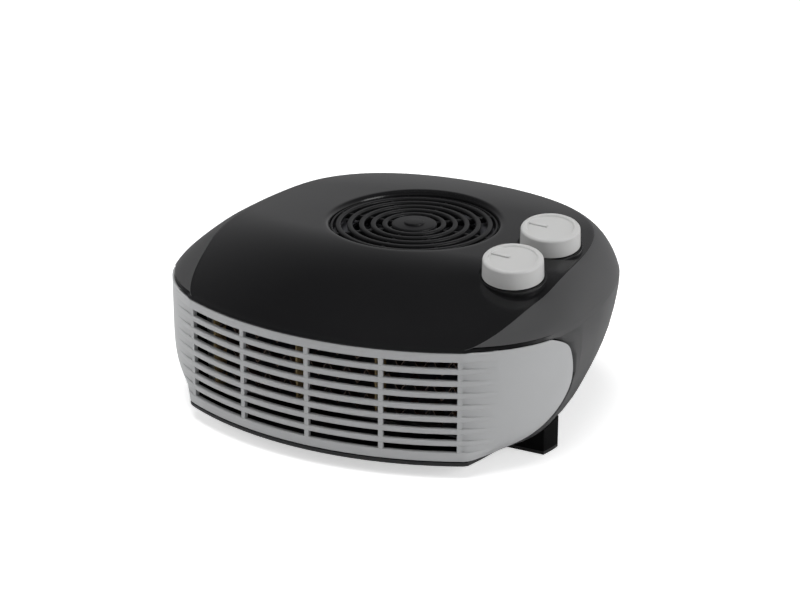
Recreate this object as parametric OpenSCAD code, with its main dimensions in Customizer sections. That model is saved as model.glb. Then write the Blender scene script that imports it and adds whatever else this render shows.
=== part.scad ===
// Flat fan heater with a bowed front grille.
// A vertical motor turns a blower wheel under the top intake; its air leaves through the front grille.
// Millimetres, Z up. The front faces -Y and the origin is under the middle of the body.

/* [Body] */
// Width of the body
body_w = 255; // [252:1:258]
// Depth of the body
body_d = 230; // [227:1:233]
// Radius of the bowed front, seen from above
front_r = 195; // [190:1:200]
// Height of the line where the two shells meet
split_z = 75.5; // [75:0.5:76.5]
// Rise of the crown above that line
crown_h = 27; // [26.5:0.25:28]
// Height of the underside above the floor
base_z = 6.8; // [6.4:0.2:7.6]
// Wall of the two shells
wall = 3; // [2.8:0.1:3.2]
// How far the lower shell draws in at its foot
tuck = 21.4; // [20:0.2:22.4]
// Width of the sloping shoulder beside the top panel
shoulder_w = 20.3; // [19.5:0.1:21]

/* [Grille] */
// Rows of air slots in the front grille
slot_rows = 8; // [6:1:9]
// Height of a slot as a share of the row
slot_share = 0.54; // [0.45:0.01:0.62]
// Thickness of the front grille
grille_t = 3; // [2.6:0.1:3.2]
// Radius of the round intake in the top panel
intake_r = 50; // [49:0.5:51]
// Rings in the intake grille
intake_rings = 5; // [4:1:7]

/* [Controls] */
// Diameter of the two knobs
knob_d = 35; // [34:0.5:36]
// Height of a knob above its seat
knob_h = 12.8; // [12:0.2:14]
// Distance of the knobs from the middle of the body
knob_x = 85; // [84:0.5:86]

/* [Fan] */
// Outer diameter of the blower wheel
wheel_d = 88; // [84:1:90]
// Number of blades on the wheel
blades = 30; // [24:1:34]
// Diameter of the motor shaft
shaft_d = 4; // [4:0.1:4.4]
// Running clearance round the shaft and the spindles
fit = 0.05; // [0.03:0.01:0.08]

/* [Feet] */
// Thickness of the rubber pads under the feet
pad_t = 2; // [1.5:0.5:3]

/* [Hidden] */

fine = 64;
small = 24;
gap = 0.3;

// Where the bowed front meets the sides, and where the body is widest
corner_x = 0.341 * body_w;
corner_a = asin(corner_x / front_r);
corner_y = front_r - sqrt(front_r * front_r - corner_x * corner_x);
wide_x = body_w / 2;
wide_y = 0.393 * body_d;
flare_a = 38.7;
side_reach = norm([wide_x - corner_x, wide_y - corner_y]);
// Control points of the side and of the back, seen from above
side_curve = [
    [corner_x, corner_y],
    [corner_x, corner_y] + 0.05 * side_reach * [cos(flare_a), sin(flare_a)],
    [wide_x, wide_y - 0.59 * side_reach],
    [wide_x, wide_y]
];
back_curve = [
    [wide_x, wide_y],
    [wide_x, wide_y + 0.872 * (body_d - wide_y)],
    [0.6 * wide_x, body_d],
    [0, body_d]
];

// Stations along one half of the outline: 0 front, 1 corner, 2 widest, 3 rear
slot_end = 1.4;
leaf_start = 1.5;
leaf_end = 1.94;
leaf_z = 46;
leaf_corner = 12;
front_steps = 10;
corner_steps = [1.07, 1.14, 1.28];
side_steps = 8;
back_steps = 14;

// Heights
floor_z = base_z + 2.5;
lip_z = base_z + 3;
grille_z0 = lip_z + 0.4;
grille_z1 = split_z - 0.5;
// Fan
fan_y = 0.578 * body_d;
scroll_z0 = 47;
scroll_z1 = 91;
cover_t = 2;
wheel_z0 = 53;
wheel_z1 = 87;
// Intake
flange_z = scroll_z1 + cover_t;
collar_z = flange_z + 4;
face_z = collar_z + 3;
// Heater
heater_y = 34;
heater_w = 168;
heater_t = 14;
heater_z0 = 17;
heater_z1 = 65;
heater_post_x = 53;
// Screws
post_x = heater_w / 2 + 2;
post_front_y = heater_y + heater_t + 18;
post_rear_x = wide_x - 65.5;
post_rear_y = body_d - 42;
post_join_z = 60;
screw_r = 2;

function smooth(t) = let (c = min(1, max(0, t))) c * c * (3 - 2 * c);
function bezier(p, t) =
    pow(1 - t, 3) * p[0] + 3 * pow(1 - t, 2) * t * p[1] + 3 * (1 - t) * t * t * p[2] + pow(t, 3) * p[3];
function bezier_run(p, t) =
    3 * pow(1 - t, 2) * (p[1] - p[0]) + 6 * (1 - t) * t * (p[2] - p[1]) + 3 * t * t * (p[3] - p[2]);

// A point of the outline at station u, and the way out of the body there
function outline_at(u) =
    u <= 1 ? [front_r * sin(u * corner_a), front_r * (1 - cos(u * corner_a))]
    : u <= 2 ? bezier(side_curve, u - 1)
    : bezier(back_curve, u - 2);
function outward_at(u) =
    u <= 1 ? [sin(u * corner_a), -cos(u * corner_a)]
    : let (d = u <= 2 ? bezier_run(side_curve, u - 1) : bezier_run(back_curve, u - 2))
        [d[1], -d[0]] / norm(d);
function inset_at(u, inset) = outline_at(u) - inset * outward_at(u);

// The top panel as a height over the plan
crown_run = 90;
function front_edge(x) = front_r - sqrt(front_r * front_r - x * x);
function top_z(x, y) =
    let (back = min(crown_run, max(0, y - front_edge(x))))
    split_z + crown_h * sin(90 * back / crown_run) * (1 - 0.265 * pow(x / 104, 2))
        - 4.8 * pow(max(0, y - 174) / 60, 2);

// How far the lower shell lies inside the outline
tuck_from = 1.09;
function tuck_power(u) = 8.2 - 6.5 * smooth((u - 1.45) / 0.7);
function tuck_at(u, z) =
    let (deep = max(0, split_z - 2 - z) / (split_z - 2 - base_z))
    tuck * smooth((u - tuck_from) / 0.52) * pow(deep, tuck_power(u));
// The shoulder runs from the outline up to the crease of the top panel
function crease_at(u) = 2 + (shoulder_w - 2) * smooth((u - 1.05) / 0.8) - 5.8 * smooth((u - 1.95) / 0.5);
// The station where the grille ends at a height, with rounded corners above and below
function leaf_at(z) =
    z < leaf_z
    ? leaf_end - (leaf_end - leaf_start) * pow((leaf_z - z) / (leaf_z - lip_z), 2)
    : let (high = max(0, 1 - (split_z - z) / leaf_corner))
        leaf_end - 0.08 * pow((z - leaf_z) / (split_z - leaf_z), 2) - 0.1 * pow(high, 2.5);

// Faces of a skin whose rows have the same number of points
function row_faces(rows, cols, closed) =
    [for (r = [0:closed ? rows - 1 : rows - 2], c = [0:cols - 1], half = [0, 1])
        let (a = r * cols + c, b = r * cols + (c + 1) % cols,
            d = ((r + 1) % rows) * cols + c, e = ((r + 1) % rows) * cols + (c + 1) % cols)
        half == 0 ? [a, d, b] : [b, d, e]];
function cap_faces(rows, cols) =
    [[for (c = [0:cols - 1]) c], [for (c = [cols - 1:-1:0]) (rows - 1) * cols + c]];
module row_solid(rows, closed = false) {
    cols = len(rows[0]);
    faces = row_faces(len(rows), cols, closed);
    polyhedron(
        points = [for (row = rows, p = row) p],
        faces = closed ? faces : concat(faces, cap_faces(len(rows), cols))
    );
}
// A full row round the body from the right half of its points
function whole_row(half) =
    let (n = len(half) - 1)
    concat(half, [for (i = [n - 1:-1:1]) [-half[i][0], half[i][1], half[i][2]]]);

module from_front() { translate([0, -body_d / 2, 0]) children(); }
module on_fan() { from_front() translate([0, fan_y, 0]) children(); }
module tube(r, bore, z0, z1) {
    translate([0, 0, z0]) difference() {
        cylinder(r = r, h = z1 - z0, $fn = fine);
        translate([0, 0, -1]) cylinder(r = bore, h = z1 - z0 + 2, $fn = fine);
    }
}
module box(x0, x1, y0, y1, z0, z1) { translate([x0, y0, z0]) cube([x1 - x0, y1 - y0, z1 - z0]); }
posts = [for (side = [-1, 1], p = [[post_x, post_front_y], [post_rear_x, post_rear_y]]) [side * p[0], p[1]]];
module post_places() {
    for (p = posts) translate([p[0], p[1], 0]) children();
}

// Lower shell: a tub drawn in at its foot, with a bed for the grille
body_stations = concat(
    [for (i = [0:front_steps - 1]) i / front_steps],
    [for (i = [0:side_steps - 1]) 1 + i / side_steps],
    [for (i = [0:back_steps]) 2 + i / back_steps]
);
function lower_stations(z) =
    let (leaf = leaf_at(z))
    concat(
        [for (i = [0:front_steps]) i / front_steps],
        corner_steps,
        [for (i = [0:5]) slot_end + (leaf - 0.006 - slot_end) * i / 5],
        [for (i = [0:3]) leaf + 0.006 + (2 - leaf) * i / 4],
        [for (i = [0:back_steps]) 2 + i / back_steps]
    );
grille_bed = grille_t + 1.5 * gap;
function lower_row(z, bed, inset, at) =
    whole_row([for (u = lower_stations(at))
        let (p = inset_at(u, tuck_at(u, z) + inset + (u < leaf_at(at) ? bed : 0))) [p[0], p[1], z]]);
function lower_height(f) = lip_z + f * (split_z - lip_z);
lower_heights = [for (f = [0.033, 0.07, 0.125, 0.2, 0.3, 0.43, 0.58, 0.76, 0.89, 0.96]) lower_height(f)];
module lower_skin() {
    row_solid(concat(
        [lower_row(base_z, 0, 1.5, lip_z), lower_row(base_z + 1.5, 0, 0, lip_z)],
        [lower_row(lip_z - 0.1, 0, 0, lip_z), lower_row(lip_z + 0.1, grille_bed, 0, lip_z)],
        [for (z = lower_heights) lower_row(z, grille_bed, 0, z)],
        [lower_row(split_z, grille_bed, 0, split_z), lower_row(split_z, grille_bed, wall, split_z)],
        [for (i = [9, 8, 7, 5, 3, 1]) let (z = lower_heights[i]) lower_row(z, grille_bed, wall, z)],
        [lower_row(floor_z, grille_bed, wall, lip_z)]
    ));
}
aperture_x = corner_x - 4;
scroll_posts = [[-34, -30], [34, -30], [-36, 35], [36, 35]];
module lower_housing() {
    from_front() color("#202022") difference() {
        union() {
            lower_skin();
            post_places() translate([0, 0, base_z + 1])
                cylinder(r = 5, h = post_join_z - base_z - 1, $fn = small);
            for (p = scroll_posts)
                translate([p[0], fan_y + p[1], base_z + 1])
                    cylinder(r = 4, h = scroll_z0 - base_z - 1, $fn = small);
            for (side = [-1, 1])
                translate([side * heater_post_x - 4, heater_y + 2, base_z + 1])
                    cube([8, heater_t - 4, heater_z0 - base_z - 1]);
        }
        box(-aperture_x, aperture_x, -5, 28, floor_z + 3, split_z + 5);
        post_places() {
            translate([0, 0, base_z - 1]) cylinder(r = screw_r + 0.3, h = 80, $fn = small);
            translate([0, 0, base_z - 1]) cylinder(r = 4, h = 34, $fn = small);
        }
        at_gland() translate([0, 0, -20]) cylinder(r = gland_r, h = 30, $fn = small);
    }
}

// Upper shell: shoulder, crease, domed panel and the collar of the intake
function upper_point(u, inset, z) = let (p = inset_at(u, inset)) [p[0], p[1], z];
function crease_point(u, inset, drop) =
    let (p = inset_at(u, inset)) [p[0], p[1], top_z(p[0], p[1]) - drop];
function panel_point(u, inset, f, r, drop) =
    let (c = inset_at(u, inset), v = c - [0, fan_y], q = [0, fan_y] + r * v / norm(v), p = c + (q - c) * f)
    [p[0], p[1], top_z(p[0], p[1]) - drop];
function collar_point(u, inset, r, z) =
    let (v = inset_at(u, inset) - [0, fan_y], q = [0, fan_y] + r * v / norm(v)) [q[0], q[1], z];
function shoulder_point(u, f) =
    let (c = crease_at(u), top = crease_point(u, c, 0)[2], rise = 0.5 * sin(90 * f) + 0.5 * f)
    upper_point(u, c * (0.5 * (1 - cos(90 * f)) + 0.5 * f), split_z + (top - split_z) * rise);
// Over the ends of the grille the shoulder draws in at its foot and leaves a shadow line
function shadow_in(u) = 1.2 * smooth((u - 1) / 0.2) * (1 - smooth((u - 1.8) / 0.2));
function rim_in(u) = wall + 6 * (1 - smooth((u - 1) / 0.3));
function crease_in(u) = max(crease_at(u) + 2, rim_in(u) + 2.5);
function inner_shoulder(u) =
    let (a = rim_in(u), b = crease_in(u), top = crease_point(u, b, wall)[2])
    upper_point(u, a + (b - a) * 0.4, split_z + (top - split_z) * 0.6);
module upper_skin() {
    us = body_stations;
    row_solid(concat(
        [whole_row([for (u = us) upper_point(u, shadow_in(u), split_z)])],
        [for (f = [0.07, 0.2, 0.45, 0.7]) whole_row([for (u = us) shoulder_point(u, f)])],
        [for (f = [0, 0.06, 0.16, 0.3, 0.45, 0.6, 0.8, 1])
            whole_row([for (u = us) panel_point(u, crease_at(u), f, intake_r + 1.5, 0)])],
        [whole_row([for (u = us) panel_point(u, crease_at(u), 1, intake_r + 0.4, 0.5)])],
        [whole_row([for (u = us) panel_point(u, crease_at(u), 1, intake_r, 1.5)])],
        [whole_row([for (u = us) collar_point(u, crease_at(u), intake_r, collar_z)])],
        [whole_row([for (u = us) collar_point(u, crease_at(u), intake_r + 2.5, collar_z)])],
        [for (f = [1, 0.75, 0.5, 0.2])
            whole_row([for (u = us) panel_point(u, crease_in(u), f, intake_r + 2.7, wall)])],
        [whole_row([for (u = us) crease_point(u, crease_in(u), wall)])],
        [whole_row([for (u = us) inner_shoulder(u)])],
        [whole_row([for (u = us) upper_point(u, rim_in(u), split_z)])]
    ), closed = true);
}
// The two knobs lean the same way and stand on flat round seats let into the dome
knob_ys = [0.38 * body_d, 0.603 * body_d];
knob_tilt = 8;
knob_lean = 3;
module on_knob(i) {
    from_front() translate([knob_x, knob_ys[i], top_z(knob_x, knob_ys[i])])
        rotate([knob_tilt, knob_lean, 0]) children();
}
seat_h = 1;
seat_r = knob_d / 2 + 1.4;
boss_h = 4;
module upper_housing() {
    color("#161617") difference() {
        union() {
            from_front() upper_skin();
            for (i = [0, 1]) on_knob(i) {
                translate([0, 0, -1.5 - boss_h]) cylinder(r = 12, h = boss_h, $fn = small);
                translate([0, 0, -4]) cylinder(r = seat_r, h = seat_h + 4, $fn = fine);
            }
            from_front() for (p = posts) translate([p[0], p[1], post_join_z])
                cylinder(r = 5, h = top_z(p[0], p[1]) - wall / 2 - post_join_z, $fn = small);
        }
        for (i = [0, 1]) on_knob(i) {
            translate([0, 0, -20]) cylinder(r = 5, h = 40, $fn = small);
            translate([0, 0, seat_h]) cylinder(r = seat_r + 0.2, h = 20, $fn = fine);
        }
        from_front() post_places() translate([0, 0, post_join_z - 1])
            cylinder(r = screw_r, h = 14, $fn = small);
    }
}

// Front grille: one moulding on a grid of heights and stations, with the slots left out of the grid
rail_h = 5.5;
rows_z0 = grille_z0 + rail_h;
row_pitch = (grille_z1 - grille_z0 - 2 * rail_h) / (slot_rows - 1 + slot_share);
slot_h = row_pitch * slot_share;
// Each slot lies in a shallow groove, and the grooves run on round the corners
groove = 0.8;
groove_edge = 0.3;
grille_heights = concat(
    [for (f = [0, 0.33, 0.69]) [grille_z0 + f * rail_h, 0]],
    [for (i = [0:slot_rows - 1],
            p = [[0, 0], [groove_edge, groove], [slot_h - groove_edge, groove], [slot_h, 0]])
        [rows_z0 + i * row_pitch + p[0], p[1]]],
    [[grille_z1 - rail_h / 2, 0], [grille_z1, 0]]
);
rib_places = [0, 0.492, 0.98];
rib_half = 0.015;
bay_steps = 4;
function bay(a, b) = [for (i = [0:bay_steps]) a + rib_half + (b - a - 2 * rib_half) * i / bay_steps];
grille_stations = concat(
    bay(rib_places[0], rib_places[1]), bay(rib_places[1], rib_places[2]),
    [rib_places[2] + rib_half], corner_steps, [slot_end - 0.02]
);
leaf_steps = 5;
function grille_row(z, inset, leaf_inset) =
    let (last = leaf_at(z) - 0.012,
        plain = [for (i = [0:leaf_steps]) slot_end + (last - slot_end) * i / leaf_steps],
        half = concat(
            [for (u = grille_stations) inset_at(u, tuck_at(u, z) + inset)],
            [for (u = plain) inset_at(u, tuck_at(u, z) + leaf_inset)]))
    concat(
        [for (i = [len(half) - 1:-1:0]) [-half[i][0], half[i][1], z]],
        [for (p = half) [p[0], p[1], z]]
    );
// A cell of the grid is open where a slot row crosses a bay between two ribs
grille_cols = 2 * (len(grille_stations) + leaf_steps + 1);
grille_rows = len(grille_heights);
function filled(r, c) =
    let (k = abs(c + 1 - grille_cols / 2), bay_cells = bay_steps + 1)
    r >= 0 && c >= 0 && r < grille_rows - 1 && c < grille_cols - 1
    && !(r > 0 && r % 4 == 0 && k < 2 * bay_cells && k % bay_cells != 0);
function grille_faces() =
    let (n = grille_cols, back = grille_cols * grille_rows)
    [for (r = [0:grille_rows - 2], c = [0:n - 2]) if (filled(r, c))
        let (a = r * n + c, b = a + 1, d = a + n, e = d + 1,
            edges = concat(
                filled(r - 1, c) ? [] : [[a, b]], filled(r + 1, c) ? [] : [[e, d]],
                filled(r, c - 1) ? [] : [[d, a]], filled(r, c + 1) ? [] : [[b, e]]),
            walls = [for (w = edges, half = [0, 1])
                half == 0 ? [w[0], w[1], w[1] + back] : [w[0], w[1] + back, w[0] + back]])
        each concat([[a, d, b], [b, d, e], [a + back, b + back, d + back], [b + back, e + back, d + back]],
            walls)];
module front_grille() {
    from_front() color("#b4b5b7") polyhedron(
        points = concat(
            [for (h = grille_heights, p = grille_row(h[0], h[1], 0)) p],
            [for (h = grille_heights, p = grille_row(h[0], grille_t, grille_t)) p]),
        faces = grille_faces()
    );
}

// Intake grille: rings on spokes, with a hub and a seat flange
module intake_grille() {
    hub_r = 13.5;
    dome_r = 6;
    outer = intake_r - 0.5;
    pitch = (outer - 1.6 - hub_r) / intake_rings;
    ring_w = 0.46 * pitch;
    on_fan() color("#1b1b1c") union() {
        tube(outer, outer - 1.4, flange_z, face_z - 1.2);
        tube(intake_r + 5, outer - 1, flange_z, collar_z);
        for (i = [1:intake_rings]) {
            r = hub_r + (i - 0.5) * pitch + 0.4;
            tube(r + ring_w / 2, r - ring_w / 2, face_z - 3, face_z - 0.4);
        }
        for (a = [0:45:315]) rotate(a) box(hub_r - 1, outer - 0.6, -1.1, 1.1, face_z - 5, face_z - 1.5);
        translate([0, 0, face_z - 5]) cylinder(r = hub_r, h = 4.6, $fn = fine);
        translate([0, 0, face_z - 1]) cylinder(r1 = dome_r, r2 = dome_r - 2, h = 1.6, $fn = fine);
    }
}

// Knob: a plain drum with a rounded rim, a dished top, a pointer rib and a bore with a flat
bore_r = 3;
flat = 1.2;
module spindle_shape(r, h) {
    difference() {
        cylinder(r = r, h = h, $fn = small);
        translate([r - flat, -r, -1]) cube([2 * r, 2 * r, h + 2]);
    }
}
module knob(i) {
    r = knob_d / 2;
    on_knob(i) difference() {
        union() {
            rotate_extrude($fn = fine)
                polygon([[0, 1.7], [r - 2.2, 1.7], [r - 1.4, 1.4], [r - 0.3, 1.4], [r, 1.8],
                    [r - 0.3, knob_h - 2], [r - 0.6, knob_h - 1], [r - 1.3, knob_h - 0.3], [r - 2.4, knob_h],
                    [r - 4.2, knob_h], [r - 5.4, knob_h - 0.5], [0, knob_h - 0.9]]);
            translate([-r + 4, -1.2, knob_h - 3]) cube([r - 6, 2.4, 3.2]);
        }
        translate([0, 0, -1]) spindle_shape(bore_r, knob_h - 3);
    }
}
module thermostat_knob() { color("#d2d2d0") knob(0); }
module power_knob() { color("#d2d2d0") knob(1); }
control_top = -1.5 - boss_h;
thermostat_foot = control_top - 17;
switch_foot = control_top - 19;
module spindle(i) {
    on_knob(i) union() {
        translate([0, 0, 0.9]) spindle_shape(bore_r - 0.02, knob_h - 6);
        translate([0, 0, control_top - 8]) cylinder(r = bore_r, h = 9 - control_top, $fn = small);
    }
}
module thermostat_spindle() { color("#c9c9c4") spindle(0); }
module power_spindle() { color("#c9c9c4") spindle(1); }
module spindle_bore() {
    translate([0, 0, control_top - 8 - gap]) cylinder(r = bore_r + fit, h = 20, $fn = small);
}
module thermostat_body() {
    on_knob(0) color("#7c7468") difference() {
        union() {
            translate([0, 0, control_top - 4]) cylinder(r = 9, h = 4, $fn = small);
            box(-11, 11, -12, 12, control_top - 13, control_top - 4);
            box(-9, 9, -10, 10, thermostat_foot, control_top - 13);
        }
        spindle_bore();
    }
}
module power_switch_body() {
    on_knob(1) color("#6b6b6e") difference() {
        union() {
            translate([0, 0, control_top - 3]) cylinder(r = 9, h = 3, $fn = small);
            translate([0, 0, switch_foot]) cylinder(r = 13, h = control_top - 3 - switch_foot, $fn = small);
            for (a = [0:90:270]) rotate(a) box(-2, 2, 12, 15, control_top - 18, control_top - 11);
        }
        spindle_bore();
    }
}

// Blower wheel: curved blades that stand on a plate with a hub and carry a ring at their outer ends
wheel_r = wheel_d / 2;
plate_t = 2;
ring_t = 2.5;
wheel_ring_w = 5;
module blade() {
    bend = 7;
    translate([wheel_r - 5, 0, wheel_z0 + plate_t])
        linear_extrude(wheel_z1 - ring_t - wheel_z0 - plate_t) intersection() {
        translate([0, bend]) difference() {
            circle(r = bend, $fn = small);
            circle(r = bend - 1, $fn = small);
        }
        polygon([[-4.6, -1], [4.6, -1], [4.6, 3.5], [-4.6, 3.5]]);
    }
}
module wheel_plate() {
    on_fan() color("#3a3b3d") difference() {
        union() {
            translate([0, 0, wheel_z0]) cylinder(r = wheel_r, h = plate_t, $fn = fine);
            translate([0, 0, wheel_z0]) cylinder(r1 = 16, r2 = 7, h = 14, $fn = fine);
            translate([0, 0, wheel_z0]) cylinder(r = 7, h = 20, $fn = fine);
        }
        translate([0, 0, wheel_z0 - 1]) cylinder(r = shaft_d / 2, h = 30, $fn = small);
    }
}
module wheel_blades() {
    on_fan() color("#3a3b3d") for (i = [0:blades - 1]) rotate(360 / blades * i) blade();
}
module wheel_ring() {
    on_fan() color("#3a3b3d") tube(wheel_r, wheel_r - wheel_ring_w, wheel_z1 - ring_t, wheel_z1);
}

// Shaded pole motor that hangs under the scroll
shaft_z0 = 13.5;
shaft_z1 = wheel_z0 + 18;
stator_z0 = 22;
stator_z1 = 38;
strap_t = 2;
upper_strap_z = 44;
lower_strap_z = 15;
bearing_r = 5;
rotor_r = 15;
module motor_shaft() {
    on_fan() color("#b9bcc0") translate([0, 0, shaft_z0])
        cylinder(r = shaft_d / 2, h = shaft_z1 - shaft_z0, $fn = small);
}
module motor_rotor() {
    on_fan() color("#8f8d88") union() {
        tube(rotor_r, shaft_d / 2, stator_z0, stator_z1);
        tube(rotor_r - 2, rotor_r - 5, stator_z0 - 1.5, stator_z1 + 1.5);
    }
}
module motor_stator() {
    on_fan() color("#6f7174") translate([0, 0, stator_z0])
        linear_extrude(stator_z1 - stator_z0) difference() {
        translate([-26, -24]) square([52, 64]);
        circle(r = rotor_r + 0.5, $fn = fine);
        translate([-15, 18.5]) square([30, 10]);
        for (i = [0, 1]) translate(motor_places[i]) circle(r = 1.6, $fn = small);
    }
}
module motor_coil() {
    on_fan() color("#a5612f") difference() {
        union() {
            box(-12, 12, 19, 48, stator_z0 - 7, stator_z1 + 4);
            for (x = [-14, 12]) box(x, x + 2, 18.6, 49, stator_z0 - 8, stator_z1 + 5);
        }
        box(-20, 20, 28.5, 40, stator_z0, stator_z1);
    }
}
module bearing(z) {
    on_fan() color("#a98b4c") tube(bearing_r, shaft_d / 2 + fit, z - 1, z + 3);
}
module upper_bearing() { bearing(upper_strap_z - 0.5); }
module lower_bearing() { bearing(lower_strap_z - 0.5); }
// A strap carries a bearing over the rotor and stands on the stator with its two ends
module strap(z, leg0, leg1) {
    on_fan() color("#9fa3a6") difference() {
        union() {
            box(-25, 25, -6, 6, z, z + strap_t);
            for (x = [-25, 22]) box(x, x + 3, -6, 6, leg0, leg1);
        }
        translate([0, 0, z - 1]) cylinder(r = bearing_r, h = strap_t + 2, $fn = fine);
    }
}
module upper_bearing_strap() { strap(upper_strap_z, stator_z1, upper_strap_z + 1); }
module lower_bearing_strap() { strap(lower_strap_z, lower_strap_z + 1, stator_z0); }

// Scroll: a spiral wall on the motor plate that opens towards the heater
scroll_t = 1.8;
tongue_a = -38;
function spiral_r(a) = wheel_r + 7 + 9 * (a - tongue_a) / 218;
function spiral_point(a, extra) = let (r = spiral_r(a) + extra) [r * cos(a), fan_y + r * sin(a)];
duct_x = heater_w / 2 - 1;
duct_y = heater_y + heater_t;
function scroll_outline(extra) = concat(
    [for (i = [0:30]) spiral_point(tongue_a + 218 * i / 30, extra)],
    [[-spiral_r(180) - extra, fan_y - 30]],
    [for (y = [duct_y + 12, duct_y]) [-duct_x + scroll_t - extra, y]],
    [[duct_x - scroll_t + extra, duct_y], [duct_x - scroll_t + extra, duct_y + 2]]
);
// Side view of the scroll: the duct slopes down and up to the face of the heater
lip_y = fan_y - 46;
function scroll_side(t) = [
    [body_d, scroll_z0 + t], [lip_y + 7, scroll_z0 + t], [duct_y - t, heater_z0 + t - scroll_t],
    [duct_y - t, heater_z1 + scroll_t - t], [lip_y, scroll_z1 - t],
    [lip_y + t, scroll_z1 + t], [body_d, scroll_z1 + t]
];
module scroll_form(t) {
    intersection() {
        linear_extrude(body_d) polygon(scroll_outline(scroll_t - t));
        translate([-body_w / 2, 0, 0]) rotate([90, 0, 90]) linear_extrude(body_w) polygon(scroll_side(t));
    }
}
motor_places = [[-21.5, -19.5], [21.5, -19.5], [-21.5, 35.5], [21.5, 35.5]];
module scroll_housing() {
    from_front() color("#4a4b4e") difference() {
        union() {
            scroll_form(0);
            for (p = motor_places) translate([p[0], fan_y + p[1], stator_z1])
                cylinder(r = 3, h = scroll_z0 + 1 - stator_z1, $fn = small);
        }
        scroll_form(scroll_t);
        translate([0, fan_y, scroll_z0 - 1]) cylinder(r = 9, h = 5, $fn = fine);
        for (i = [0, 1]) translate([motor_places[i][0], fan_y + motor_places[i][1], stator_z1 - 1])
            cylinder(r = 1.5, h = 14, $fn = small);
    }
}
module scroll_cover() {
    from_front() color("#4a4b4e") difference() {
        translate([0, 0, scroll_z1]) linear_extrude(cover_t) intersection() {
            polygon(scroll_outline(scroll_t));
            translate([-100, lip_y]) square([200, 200]);
        }
        translate([0, fan_y, scroll_z1 - 1]) cylinder(r = wheel_r - 5, h = 5, $fn = fine);
    }
}

// Heater pack: a frame with two mica combs that carry three folded ribbons
module heater_frame() {
    from_front() color("#b3b6b8") difference() {
        box(-heater_w / 2, heater_w / 2, heater_y, heater_y + heater_t, heater_z0, heater_z1);
        translate([-heater_w / 2 + 4, heater_y - 1, heater_z0 + 1.5])
            cube([heater_w - 8, heater_t + 2, heater_z1 - heater_z0 - 3]);
    }
}
mica_t = 1;
module heater_mica() {
    from_front() color("#c9a86a") for (x = [-heater_w / 2 + 4, -26, 25, heater_w / 2 - 5])
        box(x, x + mica_t, heater_y + 1, heater_y + heater_t - 1, heater_z0 + 1.5, heater_z1 - 1.5);
}
ribbon_rows = 3;
folds = 8;
function fold_line(x0, x1, half, t) = concat(
    [for (i = [0:folds]) [x0 + (x1 - x0) * i / folds, i % 2 == 0 ? -half : half]],
    [for (i = [folds:-1:0]) [x0 + (x1 - x0) * i / folds, (i % 2 == 0 ? -half : half) + t]]
);
module heater_ribbon() {
    step = (heater_z1 - heater_z0 - 3) / ribbon_rows;
    spans = [[-heater_w / 2 + 5, -26], [-25, 25], [26, heater_w / 2 - 5]];
    from_front() color("#8a6f5c") for (i = [0:ribbon_rows - 1], s = spans)
        translate([0, heater_y + heater_t / 2 + 4, heater_z0 + 1.5 + (i + 0.5) * step])
            rotate([90, 0, 0]) linear_extrude(8) polygon(fold_line(s[0], s[1], 5, 0.5));
}
module thermal_cutout() {
    from_front() color("#cfcabd") union() {
        translate([40, heater_y + heater_t / 2, heater_z1]) cylinder(r = 6, h = 5, $fn = small);
        box(36, 44, heater_y + heater_t / 2 - 2, heater_y + heater_t / 2 + 2, heater_z1 + 4, heater_z1 + 7);
    }
}
module thermal_fuse() {
    from_front() translate([0, heater_y + heater_t / 2, heater_z1]) color("#d8d4c8") union() {
        translate([-48, 0, 2]) rotate([0, 90, 0]) cylinder(r = 2, h = 14, $fn = small);
        for (x = [-51, -35]) box(x, x + 4, -2.5, 2.5, 0, 4);
    }
}

// Mains side
gland_u = 2.8;
gland_z = 24;
gland_r = 7;
block_y = fan_y - 17;
block_h = 14;
block_bores = [-61, -53, -45];
bore_z = floor_z + 4;
module terminal_block() {
    from_front() color("#e6e2d6") difference() {
        box(-66, -40, block_y - 8, block_y + 8, floor_z, floor_z + block_h);
        for (x = block_bores) translate([x, block_y, bore_z]) cylinder(r = 2.2, h = block_h, $fn = small);
    }
}
// The gland stands square on the drawn-in rear wall
module at_gland() {
    p = inset_at(gland_u, tuck_at(gland_u, gland_z));
    way = outward_at(gland_u);
    deep = (split_z - 2 - gland_z) / (split_z - 2 - base_z);
    power = tuck_power(gland_u);
    lean = atan(power * tuck * pow(deep, power - 1) / (split_z - 2 - base_z));
    translate([-p[0], p[1], gland_z]) rotate([0, 90 + lean, atan2(way[1], -way[0])]) children();
}
module cord_gland() {
    from_front() at_gland() color("#141415") difference() {
        union() {
            translate([0, 0, -12]) cylinder(r = gland_r - 0.1, h = 14, $fn = small);
            translate([0, 0, 0.6]) cylinder(r = gland_r + 2, h = 2.4, $fn = small);
        }
        translate([0, 0, -15]) cylinder(r = 3.2, h = 30, $fn = small);
    }
}
lead_r = 1.1;

// Feet: legs that drop straight to the floor outside the drawn-in shell
foot_out = 10.5;
foot_front = [1.84, 1.95];
foot_rear = [2.53, 2.6];
// How far in a leg reaches; the rear ones stop short of the screw holes
front_reach = 44;
rear_reach = 27;
// Height at which the shell has drawn in just enough for the top of the leg
function foot_top(u) =
    split_z - 2 - (split_z - 2 - base_z) * pow((foot_out + 1) / tuck, 1 / tuck_power(u));
function foot_profile(u, pad, reach) =
    pad ? [[foot_out, 0], [foot_out, pad_t], [reach, pad_t], [reach, 0]]
    : let (top = foot_top(u), low = base_z + 1.6)
    concat(
        [[foot_out, pad_t], [foot_out, top]],
        [for (i = [0:3]) let (z = top + (low - top) * i / 3) [tuck_at(u, z) - 1.5 * gap, z]],
        [[tuck_at(u, base_z) - gap, base_z], [reach, base_z], [reach, pad_t]]
    );
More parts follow.
